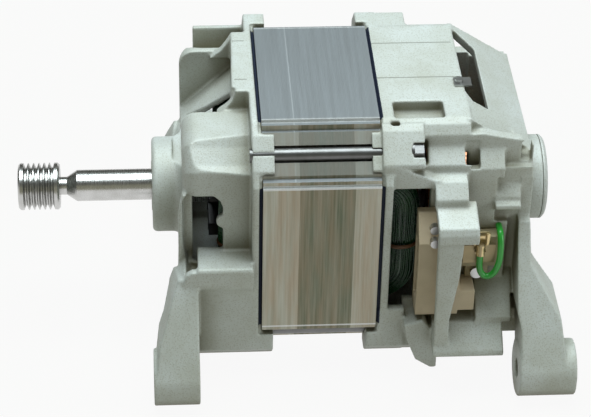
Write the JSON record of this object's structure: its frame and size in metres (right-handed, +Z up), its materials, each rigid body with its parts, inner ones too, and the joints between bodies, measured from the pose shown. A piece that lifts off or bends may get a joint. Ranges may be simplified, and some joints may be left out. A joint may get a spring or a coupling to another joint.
{
  "type": "washing machine motor",
  "caption": "Brushed washing machine motor with a ribbed belt pulley, bare laminated stator between two cast end shields, a side connector and fixing lugs.",
  "frame": {"origin": "on the shaft axis, in the middle plane of the belt on the pulley", "axes": "+X along the shaft from the pulley to the commutator end, +Z up, -Y towards the side with the connector"},
  "size_m": [0.2425, 0.169, 0.1247],
  "materials": {
    "cast_aluminium": "sandblasted casting",
    "lamination_steel": "stacked sheet edges, satin",
    "liner_film": "insulating film",
    "enamelled_wire": "dark green enamel",
    "lacing_tape": "varnished tape",
    "zinc_steel": "zinc plated",
    "bolt_steel": "dark, oiled",
    "bright_steel": "turned",
    "end_disc_plastic": "moulded",
    "rotor_wire": "varnished copper wire",
    "fan_plastic": "moulded",
    "commutator_resin": "moulded",
    "copper_bars": "turned copper",
    "bearing_steel": "ground",
    "cage_brass": "pressed",
    "seal_rubber": "matt",
    "holder_plastic": "moulded",
    "tube_brass": "folded sheet",
    "brush_carbon": "pressed carbon",
    "spring_steel": "drawn wire",
    "green_lead": "insulated wire",
    "connector_plastic": "moulded",
    "contact_metal": "tin plated",
    "magnet": "bonded magnet",
    "coil_former": "moulded",
    "sensor_cap_metal": "sandblasted casting"
  },
  "bodies": {
    "frame": {"drive_end_shield": "cast_aluminium", "commutator_end_shield": "cast_aluminium", "stator_core": "lamination_steel", "slot_liners": "liner_film", "near_coil_body": "enamelled_wire", "near_coil_turns": "enamelled_wire", "far_coil_body": "enamelled_wire", "far_coil_turns": "enamelled_wire", "coil_lacing": "lacing_tape", "through_bolts": "bolt_steel", "bolt_washers": "bolt_steel", "front_bearing_outer_race": "bearing_steel", "front_bearing_seals": "seal_rubber", "rear_bearing_outer_race": "bearing_steel", "rear_bearing_seals": "seal_rubber", "wave_washer": "zinc_steel", "near_brush_holder": "holder_plastic", "far_brush_holder": "holder_plastic", "near_brush_tube": "tube_brass", "far_brush_tube": "tube_brass", "near_brush_spring": "spring_steel", "far_brush_spring": "spring_steel", "near_brush_cap": "tube_brass", "far_brush_cap": "tube_brass", "holder_screws": "zinc_steel", "near_brush_lead": "green_lead", "far_brush_lead": "green_lead", "connector_housing": "connector_plastic", "connector_contacts": "contact_metal", "connector_screw": "zinc_steel", "field_leads": "enamelled_wire", "sensor_coil": "coil_former", "sensor_cap": "sensor_cap_metal", "earth_tab": "zinc_steel", "earth_screw": "zinc_steel"},
    "rotor": {"shaft": "bright_steel", "drive_pulley": "bright_steel", "rotor_core": "lamination_steel", "rotor_end_discs": "end_disc_plastic", "rotor_winding": "rotor_wire", "slot_wedges": "liner_film", "cooling_fan": "fan_plastic", "commutator_hub": "commutator_resin", "commutator_bars": "copper_bars", "front_bearing_inner_race": "bearing_steel", "rear_bearing_inner_race": "bearing_steel", "sensor_magnet": "magnet"},
    "front_ball_cage": {"front_bearing_balls": "bearing_steel", "front_bearing_cage": "cage_brass"},
    "rear_ball_cage": {"rear_bearing_balls": "bearing_steel", "rear_bearing_cage": "cage_brass"},
    "near_carbon_brush": {"near_brush": "brush_carbon"},
    "far_carbon_brush": {"far_brush": "brush_carbon"}
  },
  "joints": [
    {"name": "rotor_spin", "type": "hinge", "parent": "frame", "child": "rotor", "pos_m": [0, 0, 0], "axis": [1, 0, 0], "continuous": true},
    {"name": "front_cage_spin", "type": "hinge", "parent": "frame", "child": "front_ball_cage", "pos_m": [0, 0, 0], "axis": [1, 0, 0], "continuous": true},
    {"name": "rear_cage_spin", "type": "hinge", "parent": "frame", "child": "rear_ball_cage", "pos_m": [0, 0, 0], "axis": [1, 0, 0], "continuous": true},
    {"name": "near_brush_slide", "type": "slide", "parent": "frame", "child": "near_carbon_brush", "axis": [0, -1, 0], "range_m": [0, 0.01], "stiffness_N_per_m": 150, "springref_m": -0.02, "deforming": ["near_brush_spring"]},
    {"name": "far_brush_slide", "type": "slide", "parent": "frame", "child": "far_carbon_brush", "axis": [0, 1, 0], "range_m": [0, 0.01], "stiffness_N_per_m": 150, "springref_m": -0.02, "deforming": ["far_brush_spring"]}
  ],
  "couplings": [
    {"joint": "front_cage_spin", "follows": "rotor_spin", "ratio": 0.38},
    {"joint": "rear_cage_spin", "follows": "rotor_spin", "ratio": 0.3682}
  ]
}
